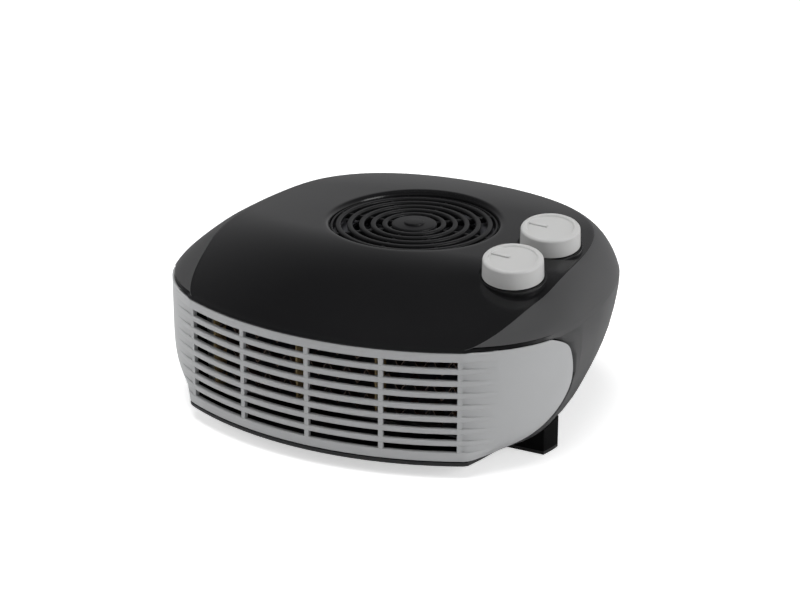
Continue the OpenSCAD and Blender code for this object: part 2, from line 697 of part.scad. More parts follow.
// The sides of a leg are parallel: they follow the way out at the middle of its span
function foot_row(u, way, pad, reach) =
    [for (q = foot_profile(u, pad, reach))
        let (p = outline_at(u) - way * q[0] / (way * outward_at(u))) [p[0], p[1], q[1]]];
module leg(span, side, pad = false) {
    front = span == foot_front;
    way = front ? [1, 0] : outward_at((span[0] + span[1]) / 2);
    reach = front ? front_reach : rear_reach;
    from_front() color(pad ? "#2b2b2b" : "#0f0f10") mirror([side < 0 ? 1 : 0, 0, 0])
        row_solid([for (i = [0:3]) foot_row(span[0] + (span[1] - span[0]) * i / 3, way, pad, reach)]);
}
module foot_front_right() { leg(foot_front, 1); }
module foot_front_left() { leg(foot_front, -1); }
module foot_rear_right() { leg(foot_rear, 1); }
module foot_rear_left() { leg(foot_rear, -1); }
module pad_front_right() { leg(foot_front, 1, true); }
module pad_front_left() { leg(foot_front, -1, true); }
module pad_rear_right() { leg(foot_rear, 1, true); }
module pad_rear_left() { leg(foot_rear, -1, true); }

// Fasteners
module housing_screw(x, y) {
    from_front() color("#8e9194") translate([x, y, 0]) union() {
        translate([0, 0, base_z + 30]) cylinder(r = 3.6, h = 3, $fn = small);
        translate([0, 0, base_z + 32]) cylinder(r = screw_r, h = post_join_z + 10 - base_z - 32, $fn = small);
    }
}
module housing_screw_front_right() { housing_screw(post_x, post_front_y); }
module housing_screw_front_left() { housing_screw(-post_x, post_front_y); }
module housing_screw_rear_right() { housing_screw(post_rear_x, post_rear_y); }
module housing_screw_rear_left() { housing_screw(-post_rear_x, post_rear_y); }
module motor_screw(i) {
    on_fan() color("#8e9194") translate(motor_places[i]) union() {
        translate([0, 0, stator_z0 - 2]) cylinder(r = 3, h = 2, $fn = small);
        translate([0, 0, stator_z0 - 1]) cylinder(r = 1.5, h = scroll_z0 + 4 - stator_z0, $fn = small);
    }
}
module motor_screw_left() { motor_screw(0); }
module motor_screw_right() { motor_screw(1); }

// Leads from the terminals to the two controls: swept tubes through a few points
function lead_dir(p, i) =
    let (d = i == 0 ? p[1] - p[0] : i == len(p) - 1 ? p[i] - p[i - 1] : p[i + 1] - p[i - 1]) d / norm(d);
function lead_ring(c, d) =
    let (a = cross(d, abs(d[2]) > 0.9 ? [1, 0, 0] : [0, 0, 1]), x = a / norm(a), y = cross(d, x))
    [for (k = [0:7]) c + lead_r * (cos(45 * k) * x + sin(45 * k) * y)];
module lead(p) { row_solid([for (i = [0:len(p) - 1]) lead_ring(p[i], lead_dir(p, i))]); }
// A point below a knob, given in the knob's own frame
function below_knob(i, p) =
    let (y = p[1] * cos(knob_tilt) - p[2] * sin(knob_tilt), z = p[1] * sin(knob_tilt) + p[2] * cos(knob_tilt))
    [knob_x, knob_ys[i], top_z(knob_x, knob_ys[i])]
    + [p[0] * cos(knob_lean) + z * sin(knob_lean), y, z * cos(knob_lean) - p[0] * sin(knob_lean)];
module supply_leads() {
    y = fan_y - 41;
    from_front() color("#7d3b2b") {
        lead([[block_bores[1], block_y, bore_z + 0.1], [block_bores[1], block_y, 24.5],
            [-52, block_y - 4, 29], [-46, y + 7, 32], [-34, y, 33], [20, y - 1, 33],
            [54, y, 38], [70, y + 1, 50],
            below_knob(0, [-5, 3, thermostat_foot - 11]), below_knob(0, [-5, 3, thermostat_foot - 0.1])]);
        lead([[block_bores[2], block_y, bore_z + 0.1], [block_bores[2], block_y, 24.5],
            [-45, block_y - 4, 27.5], [-44, y + 6.5, 28.5], [-34, y, 29.2], [20, y - 1, 29.2],
            [54, y + 1, 34], [66, y + 5, 44], [71.5, y + 24, 57],
            below_knob(1, [-5, -2, switch_foot - 7]), below_knob(1, [-5, -2, switch_foot - 0.1])]);
    }
}

lower_housing();
upper_housing();
front_grille();
intake_grille();
thermostat_knob();
power_knob();
thermostat_spindle();
power_spindle();
thermostat_body();
power_switch_body();
wheel_plate();
wheel_blades();
wheel_ring();
motor_shaft();
motor_rotor();
motor_stator();
motor_coil();
upper_bearing();
lower_bearing();
upper_bearing_strap();
lower_bearing_strap();
scroll_housing();
scroll_cover();
heater_frame();
heater_mica();
heater_ribbon();
thermal_cutout();
thermal_fuse();
terminal_block();
cord_gland();
foot_front_right();
foot_front_left();
foot_rear_right();
foot_rear_left();
pad_front_right();
pad_front_left();
pad_rear_right();
pad_rear_left();
housing_screw_front_right();
housing_screw_front_left();
housing_screw_rear_right();
housing_screw_rear_left();
motor_screw_left();
motor_screw_right();
supply_leads();
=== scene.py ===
import math

import bpy
from mathutils import Matrix, Vector


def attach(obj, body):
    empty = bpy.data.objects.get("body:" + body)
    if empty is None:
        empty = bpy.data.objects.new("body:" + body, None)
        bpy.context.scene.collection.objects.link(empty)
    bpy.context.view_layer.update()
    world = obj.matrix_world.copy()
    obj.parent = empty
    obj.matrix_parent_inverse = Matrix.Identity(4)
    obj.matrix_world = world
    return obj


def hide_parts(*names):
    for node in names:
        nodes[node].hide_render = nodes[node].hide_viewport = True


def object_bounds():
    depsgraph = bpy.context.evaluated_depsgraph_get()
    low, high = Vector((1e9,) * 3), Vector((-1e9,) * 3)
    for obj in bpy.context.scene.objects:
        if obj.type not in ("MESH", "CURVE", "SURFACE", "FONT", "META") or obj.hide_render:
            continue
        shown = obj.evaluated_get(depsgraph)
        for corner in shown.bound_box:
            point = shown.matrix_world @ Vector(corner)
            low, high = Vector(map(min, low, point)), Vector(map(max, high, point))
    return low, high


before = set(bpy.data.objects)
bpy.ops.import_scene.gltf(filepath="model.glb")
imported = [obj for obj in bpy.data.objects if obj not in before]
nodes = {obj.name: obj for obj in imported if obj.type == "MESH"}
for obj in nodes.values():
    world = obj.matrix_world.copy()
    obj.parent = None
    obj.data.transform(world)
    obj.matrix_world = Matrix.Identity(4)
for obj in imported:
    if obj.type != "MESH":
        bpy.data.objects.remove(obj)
cad_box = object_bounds()

# Studio.
# A white table that runs on behind the heater, a pale room, and soft lamps: one wide above,
# one at the left and one behind the right shoulder that draws its grey sheen.
scene = bpy.context.scene
scene.view_settings.view_transform = "Standard"
front_y = cad_box[0][1]

view_azimuth = math.radians(27.39)
view_height = math.radians(21.86)
lens_place = Vector((0.6101, front_y - 1.0777, 0.5921))
bpy.ops.object.camera_add(location=lens_place)
camera = bpy.context.object
look = Vector((-math.sin(view_azimuth) * math.cos(view_height),
               math.cos(view_azimuth) * math.cos(view_height), -math.sin(view_height)))
camera.rotation_euler = look.to_track_quat("-Z", "Y").to_euler()
camera.data.lens = 110
camera.data.sensor_width = 36
camera.data.shift_x = 0.0145
camera.data.shift_y = 0.0044
camera.data.clip_end = 20
scene.camera = camera


def lamp(name, place, aim, width, height, watts, mirrored=True):
    bpy.ops.object.light_add(type="AREA", location=place)
    light = bpy.context.object
    light.name = name
    light.data.shape = "RECTANGLE"
    light.data.size = width
    light.data.size_y = height
    light.data.energy = watts
    light.visible_glossy = mirrored
    light.rotation_euler = (Vector(aim) - Vector(place)).to_track_quat("-Z", "Y").to_euler()
    return light


lamp("overhead lamp", (-0.1, -0.1, 1.5), (0, 0, 0.05), 1.2, 0.9, 16, mirrored=False)
lamp("left lamp", (-1.4, -0.6, 0.7), (0, 0, 0.05), 0.9, 0.9, 10, mirrored=False)
lamp("shoulder lamp", (1.5, -0.1, 0.7), (0, 0, 0.05), 0.8, 0.8, 10)

world = bpy.data.worlds.new("room")
scene.world = world
world.use_nodes = True
room = world.node_tree.nodes
joins = world.node_tree.links
room.clear()
room_out = room.new("ShaderNodeOutputWorld")
room_light = room.new("ShaderNodeBackground")
room_seen = room.new("ShaderNodeBackground")
room_mix = room.new("ShaderNodeMixShader")
room_path = room.new("ShaderNodeLightPath")
room_light.inputs["Color"].default_value = (0.85, 0.85, 0.86, 1)
room_way = room.new("ShaderNodeTexCoord")
room_split = room.new("ShaderNodeSeparateXYZ")
joins.new(room_way.outputs["Generated"], room_split.inputs[0])
level = None
# The room dims overhead, in front and at the left: where each change starts and ends, and the
# strength at both ends.
room_falls = (("Z", 0.30, 0.75, 1.0, 0.15), ("Y", -0.6, 0.5, 0.3, 1.0), ("X", -0.7, 0.6, 0.35, 1.0))
for way, start, end, low, high in room_falls:
    share = room.new("ShaderNodeMapRange")
    share.inputs["From Min"].default_value = start
    share.inputs["From Max"].default_value = end
    share.inputs["To Min"].default_value = low
    share.inputs["To Max"].default_value = high
    joins.new(room_split.outputs[way], share.inputs["Value"])
    if level is None:
        level = share
        continue
    both = room.new("ShaderNodeMath")
    both.operation = "MULTIPLY"
    joins.new(level.outputs[0], both.inputs[0])
    joins.new(share.outputs[0], both.inputs[1])
    level = both
joins.new(level.outputs[0], room_light.inputs["Strength"])
room_seen.inputs["Color"].default_value = (1, 1, 1, 1)
joins.new(room_path.outputs["Is Camera Ray"], room_mix.inputs["Fac"])
joins.new(room_light.outputs[0], room_mix.inputs[1])
joins.new(room_seen.outputs[0], room_mix.inputs[2])
joins.new(room_mix.outputs[0], room_out.inputs["Surface"])

bpy.ops.mesh.primitive_plane_add(size=14, location=(0, 0, -0.0002))
table = bpy.context.object
table.name = "table"
table_look = bpy.data.materials.new("white table")
table_look.use_nodes = True
parts = table_look.node_tree.nodes
joins = table_look.node_tree.links
table_shader = parts["Principled BSDF"]
table_shader.inputs["Base Color"].default_value = (0.92, 0.92, 0.92, 1)
table_shader.inputs["Roughness"].default_value = 0.9
table_shader.inputs["Specular IOR Level"].default_value = 0.1
table_shader.inputs["Emission Color"].default_value = (1, 1, 1, 1)
path = parts.new("ShaderNodeLightPath")
lift = parts.new("ShaderNodeMath")
lift.operation = "MULTIPLY"
lift.inputs[1].default_value = 0.55
joins.new(path.outputs["Is Camera Ray"], lift.inputs[0])
joins.new(lift.outputs[0], table_shader.inputs["Emission Strength"])
table.data.materials.append(table_look)

# Top shell.
# The cover, moulded in one: a satin shoulder that leans in round the sides, painted dark grey as a
# painted sheen, a crease, and a low gloss black crown with the collar of the air intake and two
# flat seats for the knobs.
body_w = 0.255
body_d = 0.230
front_r = 0.195
split_z = 0.0755
crown_h = 0.027
base_z = 0.0068
wall = 0.003
tuck = 0.0214
shoulder_w = 0.0203
shoulder_front_w = 0.002
shoulder_rear_loss = 0.0058
crown_run = 0.090
side_fall = 0.265
side_fall_x = 0.104
rear_fall = 0.0048
rear_fall_y = 0.174
rear_fall_run = 0.060
corner_x = 0.341 * body_w
corner_a = math.asin(corner_x / front_r)
corner_y = front_r - math.sqrt(front_r ** 2 - corner_x ** 2)
wide_x = body_w / 2
wide_y = 0.393 * body_d
flare_a = math.radians(38.7)
side_reach = math.hypot(wide_x - corner_x, wide_y - corner_y)
side_curve = [
    Vector((corner_x, corner_y)),
    Vector((corner_x + 0.05 * side_reach * math.cos(flare_a),
            corner_y + 0.05 * side_reach * math.sin(flare_a))),
    Vector((wide_x, wide_y - 0.59 * side_reach)),
    Vector((wide_x, wide_y))]
back_curve = [
    Vector((wide_x, wide_y)), Vector((wide_x, wide_y + 0.872 * (body_d - wide_y))),
    Vector((0.6 * wide_x, body_d)), Vector((0, body_d))]
fan_y = 0.578 * body_d


def moulded_grain():
    """Faint cloudiness and fine grain of moulded plastic, with rubbed spots."""
    group = bpy.data.node_groups.new("moulded grain", "ShaderNodeTree")
    face = group.interface
    starts = (("Colour", None), ("Cloud", 0.08), ("Grain", 900.0), ("Gloss", 0.4), ("Rub", 0.06))
    for name, start in starts:
        kind = "NodeSocketColor" if start is None else "NodeSocketFloat"
        socket = face.new_socket(name=name, in_out="INPUT", socket_type=kind)
        if start is not None:
            socket.default_value = start
    face.new_socket(name="Colour", in_out="OUTPUT", socket_type="NodeSocketColor")
    face.new_socket(name="Roughness", in_out="OUTPUT", socket_type="NodeSocketFloat")
    face.new_socket(name="Height", in_out="OUTPUT", socket_type="NodeSocketFloat")
    n, link = group.nodes, group.links.new
    given = n.new("NodeGroupInput")
    result = n.new("NodeGroupOutput")
    place = n.new("ShaderNodeTexCoord")
    cloud = n.new("ShaderNodeTexNoise")
    cloud.inputs["Scale"].default_value = 24
    cloud.inputs["Detail"].default_value = 3
    link(place.outputs["Object"], cloud.inputs["Vector"])
    grain = n.new("ShaderNodeTexNoise")
    grain.inputs["Detail"].default_value = 2
    link(place.outputs["Object"], grain.inputs["Vector"])
    link(given.outputs["Grain"], grain.inputs["Scale"])
    centred = n.new("ShaderNodeMath")
    centred.operation = "SUBTRACT"
    centred.inputs[1].default_value = 0.5
    link(cloud.outputs["Fac"], centred.inputs[0])
    amount = n.new("ShaderNodeMath")
    amount.operation = "MULTIPLY"
    link(centred.outputs[0], amount.inputs[0])
    link(given.outputs["Cloud"], amount.inputs[1])
    value = n.new("ShaderNodeMath")
    value.operation = "ADD"
    value.inputs[1].default_value = 1.0
    link(amount.outputs[0], value.inputs[0])
    tint = n.new("ShaderNodeHueSaturation")
    link(value.outputs[0], tint.inputs["Value"])
    link(given.outputs["Colour"], tint.inputs["Color"])
    link(tint.outputs["Color"], result.inputs["Colour"])
    rub = n.new("ShaderNodeMath")
    rub.operation = "MULTIPLY_ADD"
    link(centred.outputs[0], rub.inputs[0])
    link(given.outputs["Rub"], rub.inputs[1])
    link(given.outputs["Gloss"], rub.inputs[2])
    link(rub.outputs[0], result.inputs["Roughness"])
    link(grain.outputs["Fac"], result.inputs["Height"])
    return group


grain_group = moulded_grain()


def moulding(name, colour, roughness, bump=0.05, grain=900, cloud=0.1, rub=0.08, metallic=0.0,
             specular=0.5):
    """A plastic, rubber or metal skin with the moulded grain."""
    look = bpy.data.materials.new(name)
    look.use_nodes = True
    n, link = look.node_tree.nodes, look.node_tree.links.new
    shader = n["Principled BSDF"]
    skin = n.new("ShaderNodeGroup")
    skin.node_tree = grain_group
    skin.inputs["Colour"].default_value = (*colour, 1)
    skin.inputs["Cloud"].default_value = cloud
    skin.inputs["Grain"].default_value = grain
    skin.inputs["Gloss"].default_value = roughness
    skin.inputs["Rub"].default_value = rub
    relief = n.new("ShaderNodeBump")
    relief.inputs["Strength"].default_value = bump
    relief.inputs["Distance"].default_value = 0.0002
    link(skin.outputs["Colour"], shader.inputs["Base Color"])
    link(skin.outputs["Roughness"], shader.inputs["Roughness"])
    link(skin.outputs["Height"], relief.inputs["Height"])
    link(relief.outputs["Normal"], shader.inputs["Normal"])
    shader.inputs["Metallic"].default_value = metallic
    shader.inputs["Specular IOR Level"].default_value = specular
    return look


def only(piece):
    """Selects one piece and nothing else."""
    bpy.ops.object.select_all(action="DESELECT")
    piece.select_set(True)
    bpy.context.view_layer.objects.active = piece


def edit_faces(piece, wanted):
    """Goes into edit mode with the faces selected that the test wants."""
    only(piece)
    bpy.ops.object.mode_set(mode="EDIT")
    bpy.ops.mesh.select_mode(type="FACE")
    bpy.ops.mesh.select_all(action="DESELECT")
    bpy.ops.object.mode_set(mode="OBJECT")
    for f in piece.data.polygons:
        f.select = wanted(f)
    bpy.ops.object.mode_set(mode="EDIT")


def smooth(t):
    t = min(1, max(0, t))
    return t * t * (3 - 2 * t)


def bezier(p, t):
    return ((1 - t) ** 3 * p[0] + 3 * (1 - t) ** 2 * t * p[1] + 3 * (1 - t) * t * t * p[2]
            + t ** 3 * p[3])


def bezier_run(p, t):
    """The way that a curve heads at a point."""
    return (1 - t) ** 2 * (p[1] - p[0]) + 2 * (1 - t) * t * (p[2] - p[1]) + t * t * (p[3] - p[2])


def inset_at(u, inset):
    """A point of the body's outline: u is 0 at the front, 1 at the corner, 2 widest, 3 rear,
    and below 0 on the other side."""
    side, a = (1 if u >= 0 else -1), abs(u)
    if a <= 1:
        point = Vector((front_r * math.sin(a * corner_a), front_r * (1 - math.cos(a * corner_a))))
        out = Vector((math.sin(a * corner_a), -math.cos(a * corner_a)))
    else:
        curve, t = (side_curve, a - 1) if a <= 2 else (back_curve, a - 2)
        point, run = bezier(curve, t), bezier_run(curve, t)
        out = Vector((run.y, -run.x)).normalized()
    point = point - inset * out
    return Vector((side * point.x, point.y))


def top_z(p):
    """The height of the crown, which rises from the front and falls off to the sides and rear."""
    back = min(crown_run, max(0, p.y - (front_r - math.sqrt(front_r ** 2 - p.x ** 2))))
    rise = crown_h * math.sin(math.pi / 2 * back / crown_run)
    return (split_z + rise * (1 - side_fall * (p.x / side_fall_x) ** 2)
            - rear_fall * (max(0, p.y - rear_fall_y) / rear_fall_run) ** 2)


def crease_at(u):
    """How far in the crease lies: near the edge in front, and the full shoulder at the sides."""
    a = abs(u)
    return (shoulder_front_w + (shoulder_w - shoulder_front_w) * smooth((a - 1.05) / 0.8)
            - shoulder_rear_loss * smooth((a - 1.95) / 0.5))


def in_frame(p, z):
    """A place seen from the front's foremost point, brought into the frame."""
    return (p.x, p.y + front_y, z)


def laid_grid(name, columns, rows, place, slot=None):
    """A grid laid over a form, whose place(s, t) takes 0 to 1 both ways, with a material slot for
    each face from its own middle."""
    bpy.ops.object.select_all(action="DESELECT")
    bpy.ops.mesh.primitive_grid_add(x_subdivisions=columns, y_subdivisions=rows, size=1)
    piece = bpy.context.object
    piece.name = name
    if slot:
        for f in piece.data.polygons:
            f.material_index = slot(f.center.x + 0.5, f.center.y + 0.5)
    for v in piece.data.vertices:
        v.co = place(v.co.x + 0.5, v.co.y + 0.5)
    bpy.ops.object.mode_set(mode="EDIT")
    bpy.ops.mesh.select_all(action="SELECT")
    bpy.ops.mesh.remove_doubles(threshold=0.000005)
    bpy.ops.mesh.normals_make_consistent(inside=False)
    bpy.ops.object.mode_set(mode="OBJECT")
    return piece


def finish_with(piece, kind, **values):
    """Adds a modifier, sets it and applies it."""
    only(piece)
    modifier = piece.modifiers.new(kind.lower(), kind)
    for name, value in values.items():
        setattr(modifier, name, value)
    bpy.ops.object.modifier_apply(modifier=modifier.name)


def join(pieces, name):
    """Makes several pieces into one."""
    bpy.ops.object.select_all(action="DESELECT")
    for piece in pieces:
        piece.select_set(True)
    bpy.context.view_layer.objects.active = pieces[0]
    bpy.ops.object.join()
    pieces[0].name = name
    return pieces[0]


intake_r = 0.050
rim_round = 0.003
collar_z = 0.097
fan_centre = Vector((0, fan_y))


def towards_fan(u, share, radius):
    """A point on the way from the crease to a circle about the fan."""
    start = inset_at(u, crease_at(u))
    way = (start - fan_centre).normalized()
    return start + (fan_centre + radius * way - start) * share


cover_columns = 264
cover_rows = 60
shoulder_rows = 15
shoulder_end = shoulder_rows / cover_rows
crown_end = 0.8
rim_end = 0.9
shadow_h = 0.002
shadow_in = 0.0012
row_gap = 0.00001


def over_leaf(u):
    """1 where the shoulder stands over an end of the grille, and 0 elsewhere."""
    return smooth((abs(u) - 1.05) / 0.15) * (1 - smooth((abs(u) - 1.72) / 0.08))


def cover_face(s, t):
    """The outside of the cover, from the split line up over the crown and down the intake. Above
    the ends of the grille its foot steps in for a shadow line."""
    u = 6 * s - 3
    if t <= shoulder_end:
        row = round(t * cover_rows)
        c = crease_at(u)
        high = top_z(inset_at(u, c)) - split_z
        foot = min(0.9, 0.78 * shadow_h / high)
        if row < 3:
            f = (0, foot, foot)[row]
        else:
            f = foot + (1 - foot) * (row - 2) / (shoulder_rows - 2)
        rise = 0.5 * math.sin(math.pi / 2 * f) + 0.5 * f
        lean = 0.5 * (1 - math.cos(math.pi / 2 * f)) + 0.5 * f
        step = shadow_in * over_leaf(u) if row < 2 else -row_gap
        return in_frame(inset_at(u, c * lean + step), split_z + high * rise)
    if t <= crown_end:
        p = towards_fan(u, (t - shoulder_end) / (crown_end - shoulder_end), intake_r + rim_round)
        return in_frame(p, top_z(p))
    rim = towards_fan(u, 1, intake_r + rim_round)
    if t <= rim_end:
        a = (t - crown_end) / 0.1 * math.pi / 2
        p = towards_fan(u, 1, intake_r + rim_round * (1 - math.sin(a)))
        return in_frame(p, top_z(rim) - rim_round * (1 - math.cos(a)))
    low = top_z(rim) - rim_round
    return in_frame(towards_fan(u, 1, intake_r), low + (collar_z - low) * (t - rim_end) / 0.1)


knob_x = 0.085
knob_ys = (0.38 * body_d, 0.603 * body_d)
knob_tilt = math.radians(8)
knob_lean = math.radians(3)
knob_r = 0.0175
knob_h = 0.0128
seat_h = 0.001
seat_r = knob_r + 0.0014
seat_gap = 0.0002
seat_depth = 0.004


def on_knob(i):
    """The place and turn of a knob's axis."""
    p = Vector((knob_x, knob_ys[i]))
    return (Matrix.Translation(in_frame(p, top_z(p))) @ Matrix.Rotation(knob_lean, 4, "Y")
            @ Matrix.Rotation(knob_tilt, 4, "X"))


def round_bar(name, place, radius, low, high):
    """A plain cylinder in a knob's own frame, with its place in its mesh."""
    bpy.ops.object.select_all(action="DESELECT")
    bpy.ops.mesh.primitive_cylinder_add(vertices=96, radius=radius, depth=high - low,
                                        location=(0, 0, (high + low) / 2))
    piece = bpy.context.object
    piece.name = name
    bpy.ops.object.transform_apply(location=True, rotation=True, scale=True)
    piece.data.transform(place)
    return piece


# The shoulder's black plastic is lightened to dark grey here: a painted sheen that stands in for
# the reflection of the lamp at the right.
shoulder_painted_sheen = moulding("shoulder painted sheen", (0.055, 0.055, 0.056), 0.5, bump=0.1, cloud=0.08,
                         specular=0.4)
cover_black = moulding("cover gloss black", (0.008, 0.008, 0.0085), 0.2, bump=0.02, cloud=0.1,
                       rub=0.1, specular=0.3)


def cover_slot(s, t):
    """The shoulder takes the painted sheen grey, apart from its front and the step over the leaf,
    whose foot stays black as a painted shadow line.
    """
    u = abs(6 * s - 3)
    return int(t < shoulder_end and u > 1.05 and (t > 2 / cover_rows or u > 1.77))


cover = laid_grid("top_cover", cover_columns, cover_rows, cover_face, cover_slot)
cover.data.materials.append(cover_black)
cover.data.materials.append(shoulder_painted_sheen)
finish_with(cover, "SOLIDIFY", thickness=wall, offset=-1.0)
for i in (0, 1):
    cutter = round_bar("seat_cutter", on_knob(i), seat_r + seat_gap, seat_h, 0.02)
    finish_with(cover, "BOOLEAN", operation="DIFFERENCE", object=cutter, solver="EXACT")
    bpy.data.objects.remove(cutter)
seats = []
for i in (0, 1):
    seat = round_bar("knob_seat", on_knob(i), seat_r, -seat_depth, seat_h)
    finish_with(seat, "BEVEL", width=0.0004, segments=3, limit_method="ANGLE")
    seat.data.materials.append(cover_black)
    seats.append(seat)
cover = join([cover] + seats, "top_cover")
only(cover)
bpy.ops.object.shade_smooth_by_angle(angle=math.radians(32))
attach(cover, "housing")
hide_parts("upper_housing")

# Front grille.
# A silver grey moulding clipped into the bowed front: rails above and below, seven slats on five
# ribs, and a plain leaf round each corner, where the slots run out as grooves that grow shallow.
grille_t = 0.003
lip_z = base_z + 0.003
grille_z0 = lip_z + 0.0004
grille_z1 = split_z - 0.0005
rail_h = 0.0055
slot_rows = 8
slot_share = 0.54
rows_z0 = grille_z0 + rail_h
row_pitch = (grille_z1 - grille_z0 - 2 * rail_h) / (slot_rows - 1 + slot_share)
slat_h = row_pitch * (1 - slot_share)
slot_end = 1.4
leaf_start = 1.5
leaf_end = 1.94
leaf_z = 0.046
leaf_corner = 0.012
leaf_gap = 0.018
leaf_t = 0.001
leaf_first = 0.99
groove = 0.0014
groove_share = 0.3
rib_places = (-0.98, -0.492, 0, 0.492, 0.98)
rib_half = 0.015


def tuck_at(u, z):
    """How far the body draws in at a height: not in front, and most at the foot of its sides."""
    a = abs(u)
    deep = max(0, split_z - 0.002 - z) / (split_z - 0.002 - base_z)
    return tuck * smooth((a - 1.09) / 0.52) * deep ** (8.2 - 6.5 * smooth((a - 1.45) / 0.7))


def leaf_at(z):
    """The station where the grille ends at a height, drawn in above and below."""
    if z < leaf_z:
        return leaf_end - (leaf_end - leaf_start) * ((leaf_z - z) / (leaf_z - lip_z)) ** 2
    high = max(0, 1 - (split_z - z) / leaf_corner)
    return leaf_end - 0.08 * ((z - leaf_z) / (split_z - leaf_z)) ** 2 - 0.1 * high ** 2.5


def on_front(u, depth, z):
    """A place at a depth below the outer face of the lower half."""
    return in_frame(inset_at(u, tuck_at(u, z) + depth), z)


def rounded_section(depth, height, radius, per_corner=3):
    """Points round a bar's section, as depth into the body and height from its middle."""
    points = []
    low, high = -height / 2 + radius, height / 2 - radius
    for cx, cz, turn in ((radius, low, 180), (depth - radius, low, 270),
                         (depth - radius, high, 0), (radius, high, 90)):
        for k in range(per_corner + 1):
            a = math.radians(turn + 90 * k / per_corner)
            points.append((cx + radius * math.cos(a), cz + radius * math.sin(a)))
    return points + points[:1]


def slat(z0, z1):
    """A bar with rounded edges that follows the front from corner to corner."""
    section = rounded_section(grille_t, z1 - z0, 0.0007)
    reach = slot_end - 0.005

    def place(s, t):
        depth, height = section[round(t * (len(section) - 1))]
        return on_front((2 * s - 1) * reach, depth, (z0 + z1) / 2 + height)
    return laid_grid("slat", 130, len(section) - 1, place)


def rib(u):
    """An upright bar that ties the slats together, just behind their faces."""
    front, back = 0.0004, grille_t - 0.0002
    section = [(front, -rib_half), (front, rib_half), (back, rib_half), (back, -rib_half),
               (front, -rib_half)]
    foot, height = rows_z0 - 0.001, grille_z1 - rail_h + 0.002 - rows_z0

    def place(s, t):
        depth, across = section[round(t * 4)]
        return on_front(u + across, depth, foot + height * s)
    return laid_grid("rib", 12, 4, place)


def leaf(side):
    """A curved plate from the last rib to the leaf's free edge, with its wall turned in."""
    def face(s, t):
        z = grille_z0 + (grille_z1 - grille_z0) * t
        if s < groove_share:
            u = leaf_first + (slot_end - leaf_first) * s / groove_share
            return on_front(side * u, groove * (1 - s / groove_share), z)
        u = slot_end + (leaf_at(z) - leaf_gap - slot_end) * (s - groove_share) / (1 - groove_share)
        return on_front(side * u, 0, z)
    plate = laid_grid("leaf", 40, 48, face)
    only(plate)
    outward = sum(f.normal.x for f in plate.data.polygons) * side
    if outward < 0:
        plate.data.flip_normals()
    finish_with(plate, "SOLIDIFY", thickness=leaf_t, offset=-1.0)
    return plate


pieces = [slat(grille_z0, rows_z0), slat(grille_z1 - rail_h, grille_z1)]
for row in range(1, slot_rows):
    pieces.append(slat(rows_z0 + row * row_pitch - slat_h, rows_z0 + row * row_pitch))
pieces += [rib(u) for u in rib_places]
pieces += [leaf(1), leaf(-1)]
grille = join(pieces, "front_grille_face")
only(grille)
bpy.ops.object.shade_smooth_by_angle(angle=math.radians(35))
silver_grey = moulding("silver grey", (0.40, 0.405, 0.41), 0.38, bump=0.06, cloud=0.05, rub=0.06)
grille.data.materials.append(silver_grey)
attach(grille, "housing")
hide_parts("front_grille")

# Lower shell.
# The tub that the heater is built up in: one black moulding drawn in at its foot, black within and
# under the grille, its sides painted dark grey as a painted sheen, with a bed for the grille and
# posts for the screws.


def merged_copy(node, name, angle):
    """A copy of a frame solid with its corners joined and its gentle turns smooth."""
    piece = bpy.data.objects.new(name, nodes[node].data.copy())
    scene.collection.objects.link(piece)
    only(piece)
    bpy.ops.object.mode_set(mode="EDIT")
    bpy.ops.mesh.select_all(action="SELECT")
    bpy.ops.mesh.remove_doubles(threshold=0.00001)
    bpy.ops.mesh.tris_convert_to_quads(face_threshold=math.radians(12),
                                       shape_threshold=math.radians(60))
    bpy.ops.object.mode_set(mode="OBJECT")
    bpy.ops.object.shade_smooth_by_angle(angle=math.radians(angle))
    piece.data.materials.clear()
    return piece


# The tub's black sides are lightened to dark grey here: a painted sheen that stands in for the
# reflection of the lamp at the right.
side_painted_sheen = moulding("side painted sheen", (0.037, 0.037, 0.038), 0.5, bump=0.1, cloud=0.08, specular=0.35)
shell_black = moulding("shell black", (0.012, 0.012, 0.0125), 0.42, bump=0.12, cloud=0.15,
                       specular=0.3)
tub = merged_copy("lower_housing", "tub", 30)
tub.data.materials.append(shell_black)
tub.data.materials.append(side_painted_sheen)
# Outward faces above the lip and behind the grille's ends take the painted sheen grey; all else
# keeps the shell's black.
for f in tub.data.polygons:
    outward = f.normal.x * f.center.x + f.normal.y * f.center.y > 0
    beside = f.center.y > on_front(leaf_at(f.center.z), 0, f.center.z)[1] - 0.0006
    f.material_index = int(outward and beside and f.center.z > lip_z and abs(f.normal.z) < 0.9)
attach(tub, "housing")
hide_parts("lower_housing")

# Intake grille.
# A separate black moulding that drops into the collar: round rings on eight spokes about a
# small domed hub, so that fingers stay out of the blower wheel.
intake_rings = 5
flange_z = 0.093
face_z = 0.100
hub_r = 0.0135
outer_r = intake_r - 0.0005
ring_pitch = (outer_r - 0.0016 - hub_r) / intake_rings
ring_w = 0.46 * ring_pitch
spokes = 8
spoke_w = 0.0022
spoke_h = 0.0035
dome_r = 0.006
fan_place = in_frame(fan_centre, 0)


def ring(outer, inner, z0, z1, radius):
    """A round ring of rounded section about the fan's axis."""
    section = rounded_section(outer - inner, z1 - z0, radius)

    def place(s, t):
        depth, height = section[round(t * (len(section) - 1))]
        a = 2 * math.pi * s
        r = outer - depth
        return (fan_place[0] + r * math.sin(a), fan_place[1] - r * math.cos(a),
                (z0 + z1) / 2 + height)
    return laid_grid("ring", 120, len(section) - 1, place)


def upright(name, radius, z0, z1, bevel):
    """A round disc about the fan's axis with a rounded rim."""
    piece = round_bar(name, Matrix.Translation(fan_place), radius, z0, z1)
    finish_with(piece, "BEVEL", width=bevel, segments=4, limit_method="ANGLE")
    return piece


